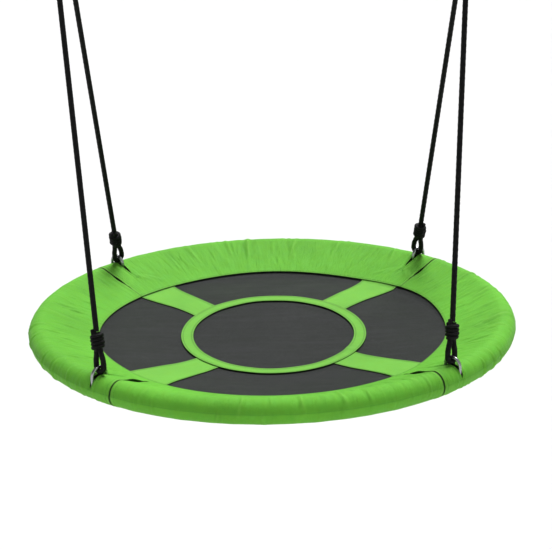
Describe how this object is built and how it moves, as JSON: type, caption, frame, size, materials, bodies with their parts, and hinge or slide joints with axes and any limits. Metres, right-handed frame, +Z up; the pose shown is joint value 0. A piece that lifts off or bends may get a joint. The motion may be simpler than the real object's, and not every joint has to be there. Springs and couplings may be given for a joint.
{
  "type": "saucer nest swing",
  "caption": "Round nest swing: fabric seat sewn over a padded tubular steel ring, hung by knotted ropes from steel rings and snap hooks.",
  "frame": {"origin": "midway between the two points inside the top bends of the snap hooks where the holding eyes bear, as the swing hangs at rest", "axes": "+X to the right of the seat, along the line between the two hanging points, +Y to the back of the seat, +Z up"},
  "size_m": [0.999, 0.999, 1.095],
  "materials": {
    "green_cloth": "woven, matt",
    "green_band": "woven, matt",
    "dark_mesh": "coated mesh weave",
    "black_rope": "braided",
    "tube_steel": "galvanised",
    "hoop_steel": "bright zinc plate",
    "hook_steel": "bright zinc plate",
    "foam": "closed-cell foam",
    "tape": "hook and loop"
  },
  "bodies": {
    "hangers": {"snap_hook_left": "hook_steel", "snap_hook_right": "hook_steel", "gate_pin_left": "hook_steel", "gate_pin_right": "hook_steel"},
    "gate_left": {"snap_gate_left": "hook_steel"},
    "gate_right": {"snap_gate_right": "hook_steel"},
    "rings": {"hanging_ring_left": "hook_steel", "hanging_ring_right": "hook_steel"},
    "left_ropes": {"rope_front_left": "black_rope", "knot_front_left": "black_rope", "lower_eye_front_left": "black_rope", "top_loop_front_left": "black_rope", "rope_back_left": "black_rope", "knot_back_left": "black_rope", "lower_eye_back_left": "black_rope", "top_loop_back_left": "black_rope"},
    "seat": {"frame_tube_front_left": "tube_steel", "rope_hoop_front_left": "hoop_steel", "frame_tube_front_right": "tube_steel", "rope_hoop_front_right": "hoop_steel", "frame_tube_back_left": "tube_steel", "rope_hoop_back_left": "hoop_steel", "frame_tube_back_right": "tube_steel", "rope_hoop_back_right": "hoop_steel", "joint_sleeve_front": "tube_steel", "joint_screw_front": "hoop_steel", "foam_sleeve_front": "foam", "rim_cover_front": "green_cloth", "closure_tape_front": "tape", "joint_sleeve_right": "tube_steel", "joint_screw_right": "hoop_steel", "foam_sleeve_right": "foam", "rim_cover_right": "green_cloth", "closure_tape_right": "tape", "joint_sleeve_back": "tube_steel", "joint_screw_back": "hoop_steel", "foam_sleeve_back": "foam", "rim_cover_back": "green_cloth", "closure_tape_back": "tape", "joint_sleeve_left": "tube_steel", "joint_screw_left": "hoop_steel", "foam_sleeve_left": "foam", "rim_cover_left": "green_cloth", "closure_tape_left": "tape", "seat_mat": "dark_mesh", "centre_ring_band": "green_band", "strap_front_left": "green_band", "strap_front_right": "green_band", "strap_back_left": "green_band", "strap_back_right": "green_band"},
    "right_ropes": {"rope_front_right": "black_rope", "knot_front_right": "black_rope", "lower_eye_front_right": "black_rope", "top_loop_front_right": "black_rope", "rope_back_right": "black_rope", "knot_back_right": "black_rope", "lower_eye_back_right": "black_rope", "top_loop_back_right": "black_rope"}
  },
  "joints": [
    {"name": "swing_fore_aft", "type": "hinge", "parent": "hangers", "child": "rings", "pos_m": [0, 0, -0.0557], "axis": [1, 0, 0], "range_deg": [-40, 40]},
    {"name": "swing_sideways", "type": "hinge", "parent": "rings", "child": "left_ropes", "pos_m": [-0.405, 0, -0.0817], "axis": [0, 1, 0], "range_deg": [-10, 10]},
    {"name": "seat_on_left_ropes", "type": "hinge", "parent": "left_ropes", "child": "seat", "pos_m": [-0.33517, 0, -1.0147], "axis": [0, 1, 0], "range_deg": [-12.5, 12.5]},
    {"name": "right_ropes_on_seat", "type": "hinge", "parent": "seat", "child": "right_ropes", "pos_m": [0.33517, 0, -1.0147], "axis": [0, 1, 0], "range_deg": [-12.5, 12.5]},
    {"name": "gate_left_open", "type": "hinge", "parent": "hangers", "child": "gate_left", "pos_m": [-0.405, 0.01017, -0.0421], "axis": [1, 0, 0], "range_deg": [0, 24], "stiffness_Nm_per_rad": 0.02, "springref_deg": -11.46},
    {"name": "gate_right_open", "type": "hinge", "parent": "hangers", "child": "gate_right", "pos_m": [0.405, 0.01017, -0.0421], "axis": [1, 0, 0], "range_deg": [0, 24], "stiffness_Nm_per_rad": 0.02, "springref_deg": -11.46}
  ],
  "couplings": [
    {"joint": "seat_on_left_ropes", "follows": "swing_sideways", "ratio": -1.2071},
    {"joint": "right_ropes_on_seat", "follows": "swing_sideways", "ratio": 1.2071}
  ]
}
